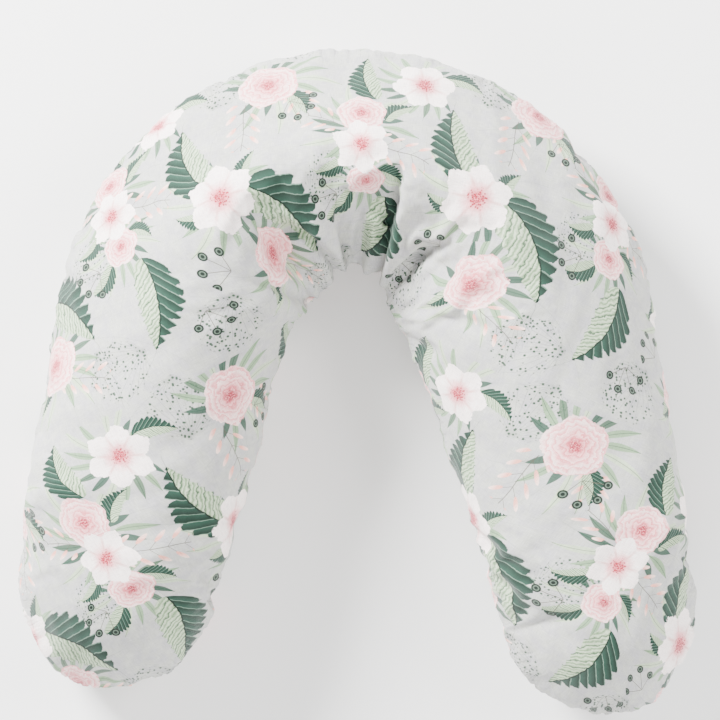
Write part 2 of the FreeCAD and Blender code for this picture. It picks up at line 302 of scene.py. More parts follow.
# Each crease where the inside of the bend folds: its angle at the inner edge and at its far
# end, the far end's offset from the centre line, and its depth.
CREASES = (
    (16, 14, 0.012, 0.0130),
    (3, 2, -0.048, 0.0075),
    (-3, -9, -0.028, 0.0090),
    (-14, -35, -0.035, 0.0105),
    (31, 44, -0.040, 0.0070),
    (-50, -60, -0.055, 0.0050),
)
CREASE_START = 0.108  # inside the centre line
CREASE_WIDTH = 0.0052
CREASE_FADE = (0.45, 1.1)  # of its length: where it starts to fade, and where it is gone
ROLL = (0.35, 2.2, 1.3)  # the roll of cloth beside a crease: height, place and width, in its own

# Slow ups and downs of the stuffing: length, bearing and height
LUMPS = ((0.083, 0.9, 0.0013), (0.061, 2.3, 0.0009), (0.037, 4.1, 0.0006))
LUMP_WANDER = 3.0
LUMP_BREAKS = 5.0

# The seam
SEAM_GROOVE = 0.0011
SEAM_GROOVE_WIDTH = 0.0028
PUCKER = 0.0006
PUCKER_REACH = 0.010
PUCKER_WAVES = ((0.0117, 1.0), (0.0163, 0.8), (0.0291, 0.7), (0.071, 0.5))  # length, share
BASE_REACH = 0.01  # above the floor, where the cloth is pressed smooth
COVER_CLOTH = 0.0008


def bearing(angle):
    """The outward and the forward direction at an angle from the middle of the bend."""
    sine, cosine = math.sin(angle), math.cos(angle)
    return np.array([sine, cosine]), np.array([cosine, -sine])


def along_limb(points, centre, radius, half_turn):
    """Each plan point's side, angle round the bend, distance past it, and offset outwards."""
    x = points[:, 0] - centre[0]
    y = points[:, 1] - centre[1]
    side = np.where(x >= 0, 1, -1)
    angle = np.arctan2(np.abs(x), y)
    outward, forward = bearing(half_turn)
    plan = np.stack([np.abs(x), y], 1)
    past = plan @ forward
    in_bend = (angle <= half_turn + 1e-9) & (past <= 1e-9)
    offset = np.where(in_bend, np.hypot(x, y) - radius, plan @ outward - radius)
    return side, np.where(in_bend, angle, half_turn), np.where(in_bend, 0.0, past), offset


def on_limb(centre, radius, side, angle, past, offset):
    """The plan points that along_limb would read as these."""
    x = (radius + offset) * np.sin(angle) + past * np.cos(angle)
    y = (radius + offset) * np.cos(angle) - past * np.sin(angle)
    return np.stack([centre[0] + side * x, centre[1] + y], -1)


def cut_half_width(side, past):
    """Half the cut's width at a distance past the bend."""
    length = np.where(side > 0, ARM_LENGTH[1], ARM_LENGTH[-1])
    eased = (1 - np.cos(math.pi * np.clip(past / length, 0, 1))) / 2
    return CUT_HALF_WIDTH + (CUT_TIP_HALF_WIDTH - CUT_HALF_WIDTH) * eased


def cut_outline():
    """Points at even steps round the cut's edge, and how far round each is."""
    points = []

    def trace(length, place):
        steps = max(3, round(length / CLOTH_STEP))
        points.extend(place(i / steps) for i in range(steps))

    def on_cut(side, angle, past, offset):
        return on_limb((0.0, 0.0), CUT_RADIUS, side, angle, past, offset)

    def arm(side, edge, back):
        def place(share):
            past = ARM_LENGTH[side] * (1 - share if back else share)
            return on_cut(side, CUT_HALF_TURN, past, edge * float(cut_half_width(side, past)))

        trace(ARM_LENGTH[side], place)

    def tip(side, first):
        def place(share):
            turn = first * (math.pi / 2 - math.pi * share)
            past = ARM_LENGTH[side] + CUT_TIP_REACH * math.cos(turn)
            return on_cut(side, CUT_HALF_TURN, past, CUT_TIP_HALF_WIDTH * math.sin(turn))

        trace(math.pi * CUT_TIP_HALF_WIDTH, place)

    def bend(edge, first):
        def place(share):
            angle = first * CUT_HALF_TURN * (2 * share - 1)
            side = 1 if angle >= 0 else -1
            return on_cut(side, abs(angle), 0.0, edge * CUT_HALF_WIDTH)

        trace(2 * CUT_HALF_TURN * (CUT_RADIUS + edge * CUT_HALF_WIDTH), place)

    bend(1, 1)
    arm(1, 1, False)
    tip(1, 1)
    arm(1, -1, True)
    bend(-1, -1)
    arm(-1, -1, False)
    tip(-1, -1)
    arm(-1, 1, True)
    return np.array(points)


def inside_cut(points):
    """How far each point is inside the cut's edge."""
    side, angle, past, offset = along_limb(points, (0.0, 0.0), CUT_RADIUS, CUT_HALF_TURN)
    beyond = past - np.where(side > 0, ARM_LENGTH[1], ARM_LENGTH[-1])
    straight = cut_half_width(side, past) - np.abs(offset)
    round_end = CUT_TIP_REACH * (1 - np.hypot(beyond / CUT_TIP_REACH, offset / CUT_TIP_HALF_WIDTH))
    turned_back = (angle >= CUT_HALF_TURN) & (past < 0)
    return np.where(turned_back, -1.0, np.where(beyond > 0, round_end, straight))


def cut_panel():
    """The cut as points and triangles, its edge's points first and in order."""
    edge = cut_outline()
    low, high = edge.min(0), edge.max(0)
    rows = np.arange(low[1], high[1], CLOTH_STEP * math.sqrt(3) / 2)
    grid = []
    for i, y in enumerate(rows):
        xs = np.arange(low[0] + (i % 2) * CLOTH_STEP / 2, high[0], CLOTH_STEP)
        grid.append(np.stack([xs, np.full_like(xs, y)], 1))
    grid = np.concatenate(grid)
    grid = grid[inside_cut(grid) > EDGE_SPACE * CLOTH_STEP]
    points = np.concatenate([edge, grid])
    ring = [(i, (i + 1) % len(edge)) for i in range(len(edge))]
    done = delaunay_2d_cdt([Vector(p) for p in points], ring, [], 1, 1e-7)
    flat = np.array([v[:] for v in done[0]])
    order = np.array([min(came_from) for came_from in done[3]])
    sort = np.argsort(order)
    place = np.empty_like(sort)
    place[sort] = np.arange(len(sort))
    flat = flat[sort]
    triangles = place[np.array([list(f) for f in done[2]])]
    a, b, c = (flat[triangles[:, k]] for k in range(3))
    turn = (b - a)[:, 0] * (c - a)[:, 1] - (b - a)[:, 1] * (c - a)[:, 0]
    triangles[turn < 0] = triangles[turn < 0][:, ::-1]
    return flat, triangles, len(edge)


def tube_from_cut(flat, up):
    """Where each point of a panel is on a round tube bent as the pillow is."""
    side, angle, past, offset = along_limb(flat, (0.0, 0.0), CUT_RADIUS, CUT_HALF_TURN)
    length = np.where(side > 0, ARM_LENGTH[1], ARM_LENGTH[-1])
    beyond = np.maximum(past - length, 0) / CUT_TIP_REACH
    width = cut_half_width(side, past)
    share = np.clip(offset / width, -1, 1)
    reach = np.clip(np.hypot(beyond, share), 1e-9, 1)
    in_tip = beyond > 0
    away = np.where(in_tip, reach, np.abs(share))
    around = np.sin(away * math.pi / 2) / np.maximum(away, 1e-9)
    radius = width * ROUNDING
    height = radius * np.cos(away * math.pi / 2)
    forward = np.minimum(past, length) + CUT_TIP_REACH * TIP_START_REACH * beyond * around
    swept = angle * HALF_SWEEP / CUT_HALF_TURN
    plan = on_limb(BEND_CENTRE, BEND_RADIUS, side, swept, forward, radius * share * around)
    return np.column_stack([plan, up * height])


def stuff(points, flat, faces):
    """The cloth after it has been cut flat, sewn and blown up from a tube's shape."""
    cloth = bpy.data.objects.new("cloth", mesh_of("cloth", points, faces))
    bpy.context.scene.collection.objects.link(cloth)
    cloth.shape_key_add(name="Basis")
    cut = cloth.shape_key_add(name="cut")
    cut.data.foreach_set("co", flat.astype(np.float32).ravel())
    for value, when in ((0.0, 1), (1.0, CUT_BY_FRAME)):
        cut.value = value
        cut.keyframe_insert("value", frame=when)
    modifier = cloth.modifiers.new("cloth", "CLOTH")
    settings = modifier.settings
    for name, value in CLOTH.items():
        setattr(settings, name, value)
    settings.effector_weights.gravity = 0.0
    modifier.collision_settings.use_collision = False
    for number in range(1, CLOTH_FRAMES + 1):
        bpy.context.scene.frame_set(number)
    shown = cloth.evaluated_get(bpy.context.evaluated_depsgraph_get()).data
    result = np.empty(3 * len(points), np.float32)
    shown.vertices.foreach_get("co", result)
    bpy.context.scene.frame_set(1)
    mesh = cloth.data
    bpy.data.objects.remove(cloth)
    bpy.data.meshes.remove(mesh)
    for action in list(bpy.data.actions):
        bpy.data.actions.remove(action)
    return result.reshape(-1, 3).astype(float)


def smooth(values, rounds):
    """A row of numbers, each averaged with its neighbours a number of times."""
    for _ in range(rounds):
        padded = np.concatenate([values[:1], values, values[-1:]])
        values = (padded[:-2] + 2 * padded[1:-1] + padded[2:]) / 4
    return values


def settle(points):
    """The blown-up tube, brought to the settled limb's widths and height, on its flat base."""
    side, angle, past, offset = along_limb(points, BEND_CENTRE, BEND_RADIUS, HALF_SWEEP)
    length = np.where(side > 0, ARM_LENGTH[1], ARM_LENGTH[-1])
    offset, height, past = offset.copy(), points[:, 2].copy(), past.copy()
    for arm in (-1, 1) * SETTLE_ROUNDS:
        mine = side == arm
        beyond = np.maximum(past[mine] - ARM_LENGTH[arm], 0)
        past[mine] += beyond * (TIP_REACH / beyond.max() - 1)
        run = BEND_RADIUS * angle[mine] + past[mine]
        full = BEND_RADIUS * HALF_SWEEP + ARM_LENGTH[arm]
        edges = np.linspace(0, full + LAST_MEASURE * TIP_REACH, MEASURES + 1)
        middle = (edges[1:] + edges[:-1]) / 2
        rounded = np.clip(1 - np.maximum(middle - full, 0) / TIP_REACH, 0, 1)
        rounded = (1 - (1 - rounded) ** TIP_SQUARENESS) ** (1 / TIP_SQUARENESS)
        place = np.clip(np.digitize(run, edges) - 1, 0, MEASURES - 1)
        scales = []
        for stations, widths, found in (
            (STATIONS, OUTER_WIDTH, offset[mine]),
            (INNER_STATIONS, INNER_WIDTH[arm], -offset[mine]),
            (STATIONS, TOP_HEIGHT, np.abs(height[mine])),
        ):
            wanted = np.interp(middle, stations, widths) * rounded
            most = np.array([found[place == k].max() for k in range(MEASURES)])
            scales.append(np.interp(run, middle, smooth(wanted / most, 1)))
        outward = np.clip(offset[mine] / CORE, -1, 1) / 2 + 0.5
        offset[mine] *= scales[0] * outward + scales[1] * (1 - outward)
        height[mine] *= scales[2]
    ended = np.clip((past - length + DROOP_START) / (TIP_REACH + DROOP_START), 0, 1)
    z = SEAM_HEIGHT - TIP_DROOP * ended**2 + height
    z = np.logaddexp(0.0, z / BASE_SOFTNESS) * BASE_SOFTNESS
    return np.column_stack([on_limb(BEND_CENTRE, BEND_RADIUS, side, angle, past, offset), z])


def in_zip(points):
    """Points in the zip's own frame."""
    return (points - ZIP_ORIGIN) @ ZIP_AXES.T


def from_zip(points):
    """Points given in the zip's own frame, in the model's."""
    return np.asarray(points, float) @ ZIP_AXES + ZIP_ORIGIN


def fade(values, full, none):
    """1 up to full, smoothly down to 0 at none."""
    share = np.clip((none - values) / (none - full), 0, 1)
    return share * share * (3 - 2 * share)


def side_of_arm(across):
    """How far the arm's side falls away at a distance across it from the zip."""
    across = np.clip(across / ZIP_ARM_RADIUS, -0.94, 0.94)
    return ZIP_ARM_RADIUS * (np.sqrt(1 - across**2) - 1)


def applied(piece):
    """A mesh of the piece with its modifiers applied."""
    shown = piece.evaluated_get(bpy.context.evaluated_depsgraph_get())
    return bpy.data.meshes.new_from_object(shown)


def read(values, name, width, kind=np.float32):
    """One value of every item of a mesh, as rows of an array."""
    found = np.empty(width * len(values), kind)
    values.foreach_get(name, found)
    return found.reshape(-1, width) if width > 1 else found


def finer(points, flat, faces, panel):
    """The mesh once subdivided: its points, normals, flat places, faces and each one's panel."""
    mesh = mesh_of("finer", points, faces)
    for _ in range(2):
        mesh.materials.append(None)
    mesh.polygons.foreach_set("material_index", panel)
    set_map(mesh, "cut", flat, np.concatenate(faces))
    coarse = bpy.data.objects.new("finer", mesh)
    bpy.context.scene.collection.objects.link(coarse)
    modifier = coarse.modifiers.new("finer", "SUBSURF")
    modifier.levels = 1
    modifier.uv_smooth = "NONE"
    fine = applied(coarse)
    corners = read(fine.loops, "vertex_index", 1, np.int32)
    fine_flat = np.empty((len(fine.vertices), 2))
    fine_flat[corners] = read(fine.uv_layers["cut"].data, "uv", 2)
    fine_points = read(fine.vertices, "co", 3).astype(float)
    fine_normals = read(fine.vertex_normals, "vector", 3)
    fine_panel = read(fine.polygons, "material_index", 1, np.int32)
    bpy.data.meshes.remove(fine)
    bpy.data.objects.remove(coarse)
    return fine_points, fine_normals, fine_flat, corners.reshape(-1, 4), fine_panel


def set_map(mesh, name, places, corners):
    """A UV map that gives every face corner the place of its point."""
    layer = mesh.uv_layers.new(name=name)
    layer.data.foreach_set("uv", places[corners].astype(np.float32).ravel())


def along_edge(places, edge):
    """How far round the cut's edge each flat place is, and how far from the edge."""
    step = np.linalg.norm(edge - np.roll(edge, 1, 0), axis=1)
    run = np.cumsum(step) - step[0]
    nearest_point = np.empty(len(places), int)
    away = np.empty(len(places))
    for first in range(0, len(places), 8000):
        part = slice(first, first + 8000)
        distance = np.linalg.norm(places[part, None] - edge[None], axis=2)
        nearest_point[part] = distance.argmin(1)
        away[part] = distance.min(1)
    return run[nearest_point], np.clip(inside_cut(places), 0, away)


def part_of(points, faces, *values):
    """Only the points that the faces use, with the faces renumbered and the values to match."""
    used = np.unique(faces)
    number = np.full(len(points), -1)
    number[used] = np.arange(len(used))
    return points[used], number[faces], *(v[used] for v in values)


def cloth_panel(name, points, faces, flat, seam):
    """A mesh of one panel that carries its flat places and its distance along and from the seam."""
    mesh = mesh_of(name, points, faces.tolist())
    size = (flat.max(0) - flat.min(0)).max()
    for layer, values in (("cut", flat), ("seam", seam), ("OFBake", (flat - flat.min(0)) / size)):
        set_map(mesh, layer, values, faces.ravel())
    return mesh


def open_slot(mesh):
    """Cuts the zip's slot out of a panel."""
    shape = bmesh.new()
    shape.from_mesh(mesh)

    def within(face, past_ends, half_width):
        x, y, z = in_zip(np.array(face.calc_center_median()))
        in_length = SLOT[0] - past_ends < x < SLOT[1] + past_ends
        return in_length and abs(z) < half_width and y > -SLOT_DEPTH

    near = {face for face in shape.faces if within(face, *NEAR_SLOT)}
    cuts = [((0, 0, z), (0, 0, 1)) for z in (-SLOT_HALF_WIDTH, SLOT_HALF_WIDTH)]
    cuts += [((x, 0, 0), (1, 0, 0)) for x in SLOT]
    for place, facing in cuts:
        edges = {edge for face in near for edge in face.edges}
        corners = {corner for face in near for corner in face.verts}
        done = bmesh.ops.bisect_plane(
            shape,
            geom=list(near) + list(edges) + list(corners),
            plane_co=Vector(from_zip(place)),
            plane_no=Vector(np.array(facing, float) @ ZIP_AXES),
            dist=1e-7,
        )
        near = {item for item in done["geom"] if isinstance(item, bmesh.types.BMFace)}
    gone = [face for face in near if within(face, 0.0, SLOT_HALF_WIDTH)]
    bmesh.ops.delete(shape, geom=gone, context="FACES")
    shape.to_mesh(mesh)
    shape.free()


def thicken(piece, thickness):
    """Gives a cloth piece its thickness, inwards."""
    modifier = piece.modifiers.new("thickness", "SOLIDIFY")
    modifier.thickness = thickness
    modifier.offset = -1.0
    thin, piece.data = piece.data, applied(piece)
    piece.modifiers.clear()
    bpy.data.meshes.remove(thin)
    piece.data.shade_smooth()


def soft(piece, slot, *nodes):
    """Puts a piece of the pillow in place of its CAD nodes, which it hides, and bakes its transform
    into its mesh.
    """
    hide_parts(*nodes)
    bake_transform(piece)


def seam_sink(run, away):
    """How deep the seam pulls the cloth in, with its small puckers."""
    wave = 0.0
    for number, (length, share) in enumerate(PUCKER_WAVES):
        wave = wave + share * np.sin(2 * math.pi * run / length + 40 * length * number)
    groove = SEAM_GROOVE * np.exp(-((away / SEAM_GROOVE_WIDTH) ** 2))
    return groove + PUCKER * np.exp(-away / PUCKER_REACH) * wave


def crease_sink(points):
    """How deep each point is in the creases inside the bend."""
    side, angle, past, offset = along_limb(points, BEND_CENTRE, BEND_RADIUS, HALF_SWEEP)
    signed = np.degrees(angle) * side
    height, place, width = ROLL
    sink = 0.0
    for first, last, end, depth in CREASES:
        share = np.clip((offset + CREASE_START) / (end + CREASE_START), -0.2, 1.2)
        away = np.radians(signed - first - (last - first) * share) * (BEND_RADIUS + offset)
        away = away / CREASE_WIDTH
        fold = np.exp(-(away**2)) - height * np.exp(-(((away - place) / width) ** 2))
        sink = sink + depth * fold * fade(share, *CREASE_FADE) * (past <= 0)
    return sink


def lump_sink(flat):
    """The slow ups and downs of the stuffing under the cloth."""
    sink = 0.0
    for length, heading, height in LUMPS:
        across = flat @ np.array([math.cos(heading), math.sin(heading)])
        along = flat @ np.array([-math.sin(heading), math.cos(heading)]) / length
        wave = np.sin(2 * math.pi * across / length + LUMP_WANDER * np.sin(along))
        sink = sink + height * wave * np.cos(LUMP_BREAKS * along)
    return sink


def levelled(points):
    """The points, with the cloth round the zip lying on the arm's plain round side."""
    local = in_zip(points)
    x, y, z = local.T
    level = fade(np.abs(z), *LEVEL_WIDTH) * fade(-x, *LEVEL_BEFORE) * fade(x, *LEVEL_BEYOND)
    local[:, 1] += level * (y > -LEVEL_DEPTH) * (side_of_arm(z) - y)
    return from_zip(local)


flat, triangles, edge_count = cut_panel()
inner_count = len(flat) - edge_count
lower_of = np.concatenate([np.arange(edge_count), len(flat) + np.arange(inner_count)])
points = np.concatenate([tube_from_cut(flat, 1), tube_from_cut(flat[edge_count:], -1)])
gap = np.concatenate([np.zeros(edge_count), np.full(inner_count, CUT_GAP)])
upper_cut = np.column_stack([flat, gap])
lower_cut = np.column_stack([flat, -gap])[edge_count:]
faces = triangles.tolist() + lower_of[triangles[:, ::-1]].tolist()
points = stuff(points, np.concatenate([upper_cut, lower_cut]), faces)
points = settle(points)

all_flat = np.concatenate([flat, flat[edge_count:]])
panel_of = np.repeat([0, 1], len(triangles))
fine, normals, fine_flat, quads, quad_panel = finer(points, all_flat, faces, panel_of)
run, away = along_edge(fine_flat, flat[:edge_count])
sink = seam_sink(run, away) + crease_sink(fine) + lump_sink(fine_flat)
above_base = np.clip(fine[:, 2] / BASE_REACH, 0, 1)
fine = levelled(fine - normals * (sink * above_base)[:, None])
fine[:, 2] = np.maximum(fine[:, 2], 0.0)

# The print, in millimetres on the flat cloth
LOWER_PRINT_SHIFT = (0.085, -0.120)  # in metres: the lower panel is cut from elsewhere on the cloth
PRINT_AT = (7.0, 313.0)  # a cluster's middle on the cut, from the bend's centre
REPEAT = 265.0  # across the cloth
DROP = (132.5, 308.0)  # from one row of the print to the next
ROW_START = -184.0  # where a row begins, below its cluster
FAR = 1000.0
WEAVE = 0.62  # two threads of the plain weave

# Each motif's copies: x and y from the cluster's middle, turn in degrees, and size
ROSES = ((0, 39, 0, 0.80), (5, -36, 60, 0.68), (155, -110, 130, 1.04), (176, 89, 20, 1.0))
BLOSSOMS = ((0, 1, 12, 0.82), (121, -35, 0, 1.06), (59, 84, 40, 0.88))
LEAVES = (
    (93, 14, 107, 1.0),
    (184, -62, -48, 1.22),
    (22, -104, -104, 1.0),
    (4, 88, 98, 0.66),
    (86, -46, 165, 0.36),
    (150, -8, 62, 0.38),
    (-32, -22, 200, 0.36),
    (30, -30, -35, 0.34),
    (206, 60, -60, 0.42),
    (132, -136, -120, 0.40),
    (34, 44, 40, 0.40),
    (-24, -62, -150, 0.44),
    (98, 96, -15, 0.44),
)
SPRAYS = (
    (2, 20, 0, 1.1),
    (0, -32, 140, 0.9),
    (155, -112, 200, 1.15),
    (176, 90, 250, 1.2),
    (121, -33, 120, 1.15),
    (59, 86, 30, 1.0),
)
BERRIES = ((96, -98, 150, 1.0), (-26, -48, 200, 1.0), (58, -128, -70, 1.0), (196, 62, -50, 1.0))
BUDS = (
    (150, 40, -100, 1.0),
    (212, 46, -75, 0.9),
    (42, -6, -20, 0.9),
    (-44, 36, 150, 0.85),
    (190, -140, -30, 0.9),
)
SPRIGS = (
    (72, -150, 250, 1.0),
    (-38, -150, 200, 0.95),
    (128, 104, 80, 0.95),
    (-4, -204, 260, 0.95),
    (232, -30, 40, 0.8),
    (222, -150, -60, 0.9),
)

GROUND = ("#B7B8B1", "#ACABAD")
ROSE = {"rim": "#F7D9D5", "middle": "#E68D92", "shade": "#C4505D", "heart": "#8E2335"}
BLOSSOM = {"rim": "#FCF0EC", "shade": "#D9A29F", "blush": "#E27C85", "heart": "#931B2E"}
DARK_LEAF = ("#0A1D14", "#234336", "#7F9F8B")
PALE_LEAF = ("#688560", "#BDCBAE", "#23422F")
SPRAY = ("#1F4433", "#7E9A76", "#B4C3A4")
BERRY = ("#101D15", "#66796A")
TWIG = "#4B463A"
BUD = ("#E6A091", "#F5D3C8")
SPRIG = "#29422F"


def polar(place):
    """A place's x, y, distance and angle."""
    x = add(tree, "SeparateXYZ", (place,))
    y = x.out(1)
    return x, y, add(tree, "VectorMath", (place,), out=1, operation="LENGTH"), y.math("ARCTAN2", x)


def nearest(where, places):
    """The place on the nearest of a motif's copies, in the motif's own millimetres."""
    best = closest = None
    for x, y, turn, size in places:
        ends = ((x + REPEAT / 2, FAR, FAR), (x - REPEAT / 2, -FAR, -FAR))
        here = add(tree, "VectorMath", (where, *ends), operation="WRAP")
        laid = {0: here, 1: (x, y, 0), 2: (0, 0, math.radians(turn)), 3: (size, size, 1)}
        here = add(tree, "Mapping", laid, vector_type="TEXTURE")
        away = add(tree, "VectorMath", (here,), out=1, operation="LENGTH")
        if best is None:
            best, closest = here, away
        else:
            nearer = away.math("LESS_THAN", closest)
            best = add(tree, "Mix", {0: nearer, 4: best, 5: here}, out=1, data_type="VECTOR")
            closest = away.math("MINIMUM", closest)
    return best


def paint(under, mask, shade):
    """Paints a colour over another where a mask is 1."""
    return mix(mask, under, shade if isinstance(shade, Wire) else linear(shade))


def inked(inside, softness=0.7):
    """1 where a distance in millimetres is inside, with a soft edge."""
    return inside.step(-softness / 2, softness / 2)


def line(away, half_width, softness=0.4):
    """1 along a line, from the distance to it and half its width in millimetres."""
    return inked(away * -1.0 + half_width, softness)


def band(value, length):
    """How far a distance is through its repeat, from 0 to 1."""
    return (value / length).math("FRACT")


def limited(value):
    """A value kept from 0 to 1."""
    return value.math("MINIMUM", 1.0).math("MAXIMUM", 0.0)


def any_of(first, *others):
    """The greatest of several masks."""
    for other in others:
        first = first.math("MAXIMUM", other)
    return first


def paint_sprigs(under, place):
    """Sprigs of tiny seed heads on hair-thin stems that fan out from a foot."""
    reach, foot, stem_length, stem_angle = 31.0, 32.0, 53.0, 0.17
    x, y, away, _ = polar(place)
    from_foot = x + foot
    spread = y.math("ARCTAN2", from_foot)
    length = (from_foot * from_foot + y * y).math("SQRT")
    seeds = add(tree, "TexVoronoi", {"Vector": place, "Scale": 0.25, "Randomness": 0.9})
    lump = add(tree, "TexNoise", {"Vector": place, "Scale": 0.07}) * 16.0 - 8.0
    inside = inked((away * -1.0 + reach) + lump, 3.0)
    dots = inked(seeds * -4.0 + 1.3, 0.5) * inside
    from_stem = (band(spread + 0.08, stem_angle) - 0.5).math("ABSOLUTE") * length * stem_angle
    stems = line(from_stem, 0.28, 0.3) * inside * length.step(stem_length + 5.0, stem_length - 5.0)
    return paint(paint(under, stems * 0.35, SPRIG), dots * 0.95, SPRIG)


def paint_sprays(under, place):
    """Slender leaves of several lengths that stand out round a flower."""
    leaf_angle, stalk, shortest, longer, half_width = 0.331, 14.0, 32.0, 30.0, 3.1
    _, _, reach, angle = polar(place)
    swung = angle + reach * 0.006
    sector = (swung / leaf_angle).math("FLOOR")
    chance = add(tree, "TexWhiteNoise", {"W": sector}, noise_dimensions="1D")
    offset = (band(swung, leaf_angle) - 0.5) * leaf_angle
    across = (offset.math("SINE") * reach).math("ABSOLUTE")
    length = chance * longer + shortest
    along = limited((reach - stalk) / (length - stalk))
    width = (along * math.pi).math("SINE") * half_width
    leaf = inked(width - across, 0.6) * chance.step(0.12, 0.13)
    stem = line(across, 0.35) * (length - reach).step(0.0, 1.0) * chance.step(0.2, 0.21)
    shade = mix(chance.step(0.5, 0.55), linear(SPRAY[0]), linear(SPRAY[1]))
    shade = paint(shade, chance.step(0.75, 0.8), SPRAY[2])
    shade = paint(shade, line(across, 0.3) * 0.6, SPRAY[0])
    return paint(paint(under, stem * 0.8, TWIG), leaf * 0.92, shade)


def paint_buds(under, place):
    """Thin twigs with small buds at the ends of their side shoots."""
    half_length, shoot_gap, shoot_length, bud_size = 30.0, 15.0, 10.0, (2.9, 5.2)
    x, y, _, _ = polar(place)
    out = (y - (x / 13.0).math("SINE") * 2.2).math("ABSOLUTE")
    side = (band(x - out * 0.9, shoot_gap) - 0.5) * shoot_gap
    within = (x.math("ABSOLUTE") * -1.0 + half_length).step(0.0, 1.0)
    shoot = line(side.math("ABSOLUTE"), 0.34) * (out * -1.0 + shoot_length).step(0.0, 1.0)
    wide = (side / bud_size[0]).math("POWER", 2.0)
    long = ((out - 12.5) / bud_size[1]).math("POWER", 2.0)
    bud = inked(((wide + long).math("SQRT") * -1.0 + 1.0) * 4.0, 0.8) * within
    shade = mix(out.step(10.0, 17.0), linear(BUD[0]), linear(BUD[1]))
    return paint(paint(under, any_of(line(out, 0.42), shoot) * within * 0.8, TWIG), bud, shade)


def paint_leaves(under, place):
    """Broad leaves, dark and deeply notched on one side of the midrib and pale on the other."""
    length, half_width, lobe, curl = 90.0, 25.0, 10.4, 0.006
    x, y, _, _ = polar(place)
    share = limited((x + length / 2) / length)
    bent = y + x * x * curl - 4.0 + ragged * 0.5
    out = bent.math("ABSOLUTE")
    width = (share.math("POWER", 0.72) * math.pi).math("SINE").math("POWER", 0.75) * half_width
    slanted = x - out * 0.95 + ragged * 0.9
    veins = band(slanted, lobe)
    number = (slanted / lobe).math("FLOOR")
    chance = add(tree, "TexWhiteNoise", {"W": number}, noise_dimensions="1D")
    notch = (share * 0.75 + 0.05) * veins.math("POWER", 1.8) * (chance * 0.9 + 0.5)
    dark_mask = inked(width * (notch * -1.0 + 1.0) - out) * bent.step(-0.3, 0.3)
    pale_mask = inked(width * (veins * -0.13 + 0.92) - out) * bent.step(0.3, -0.3)
    dark = mix(veins, linear(DARK_LEAF[0]), linear(DARK_LEAF[1]))
    dark = paint(dark, veins.step(0.16, 0.04) * 0.6, DARK_LEAF[2])
    fine_veins = (band(slanted, lobe / 2) - 0.5).math("ABSOLUTE") * 2.0
    pale = mix(fine_veins, linear(PALE_LEAF[1]), linear(PALE_LEAF[0]))
    pale_edge = (width - out).step(3.0, 0.0) * 0.5
    pale = paint(pale, any_of(veins.step(0.2, 0.05) * 0.75, pale_edge), PALE_LEAF[2])
    rib = line(out, 0.7, 0.6) * inked(width - out)
    return paint(paint(paint(under, pale_mask, pale), dark_mask, dark), rib, DARK_LEAF[0])


def paint_berries(under, place):
    """Small dark berries, each with a pale ring, on stems that meet at a point."""
    stem_angle, shortest, longer, radius, ring_radius = 0.72, 15.0, 9.0, 4.3, 2.2
    _, _, reach, angle = polar(place)
    sector = (angle / stem_angle).math("FLOOR") + 0.5
    chance = add(tree, "TexWhiteNoise", {"W": sector}, noise_dimensions="1D")
    offset = (band(angle, stem_angle) - 0.5) * stem_angle
    across = offset.math("SINE") * reach
    along = offset.math("COSINE") * reach - (chance * longer + shortest)
    away = (across * across + along * along).math("SQRT")
    fan = (angle.math("ABSOLUTE") * -1.0 + 2 * stem_angle).step(0.0, 0.02)
    stem = line(across.math("ABSOLUTE"), 0.35) * along.step(0.5, -0.5) * fan
    ring = line((away - ring_radius).math("ABSOLUTE"), 0.5, 0.8)
    shade = mix(ring * 0.7, linear(BERRY[0]), linear(BERRY[1]))
    return paint(paint(under, stem * 0.85, TWIG), inked(away * -1.0 + radius) * fan, shade)


def paint_roses(under, place):
    """Full roses: rings of overlapping petals, pale at the rims and deep pink in the heart."""
    radius, scallop, ring_gap = 26.5, 3.4, 6.0
    _, _, reach, angle = polar(place)
    reach = reach + ragged * 0.9
    petals = (angle * 2.5 + ragged * 0.12 + 0.6).math("SINE").math("ABSOLUTE")
    rings = (reach + ragged * 1.1) / ring_gap + angle / (2 * math.pi) - petals * 0.5
    depth = (reach / 24.0).step(1.0, 0.0)
    lit = mix(depth, linear(ROSE["rim"]), linear(ROSE["middle"]))
    shadow = mix(depth, linear(ROSE["middle"]), linear(ROSE["shade"]))
    petal = mix(band(rings, 1.0).step(-0.1, 0.85), shadow, lit)
    petal = paint(petal, reach.step(9.0, 3.0) * mottled, ROSE["heart"])
    return paint(under, inked(petals * scallop + radius - reach), petal)


def paint_blossoms(under, place):
    """Open blossoms of six pointed petals, nearly white, with a blush round a red heart."""
    radius, petal_angle, cleft = 35.0, math.pi / 3, 9.5
    _, _, reach, angle = polar(place)
    reach = reach + ragged * 1.4
    half = (band(angle, petal_angle) - 0.5).math("ABSOLUTE") * 2.0
    petal = mix(reach.step(20.0, 4.0), linear(BLOSSOM["rim"]), linear(BLOSSOM["blush"]))
    fold = half.step(0.72, 1.0) * reach.step(4.0, 12.0) * reach.step(30.0, 14.0)
    rays = ((angle * 27.0 + ragged).math("SINE") * 0.5 + 0.5) * reach.step(26.0, 8.0) * 0.28
    petal = paint(petal, any_of(fold * 0.8, rays), BLOSSOM["shade"])
    seeds = add(tree, "TexVoronoi", {"Vector": place, "Scale": 0.42})
    seeds = seeds.step(0.5, 0.25) * reach.step(11.5, 8.0)
    petal = paint(petal, any_of(reach.step(7.5, 3.5) * mottled, seeds), BLOSSOM["heart"])
    return paint(under, inked(half.math("POWER", 1.2) * -cleft + radius - reach), petal)


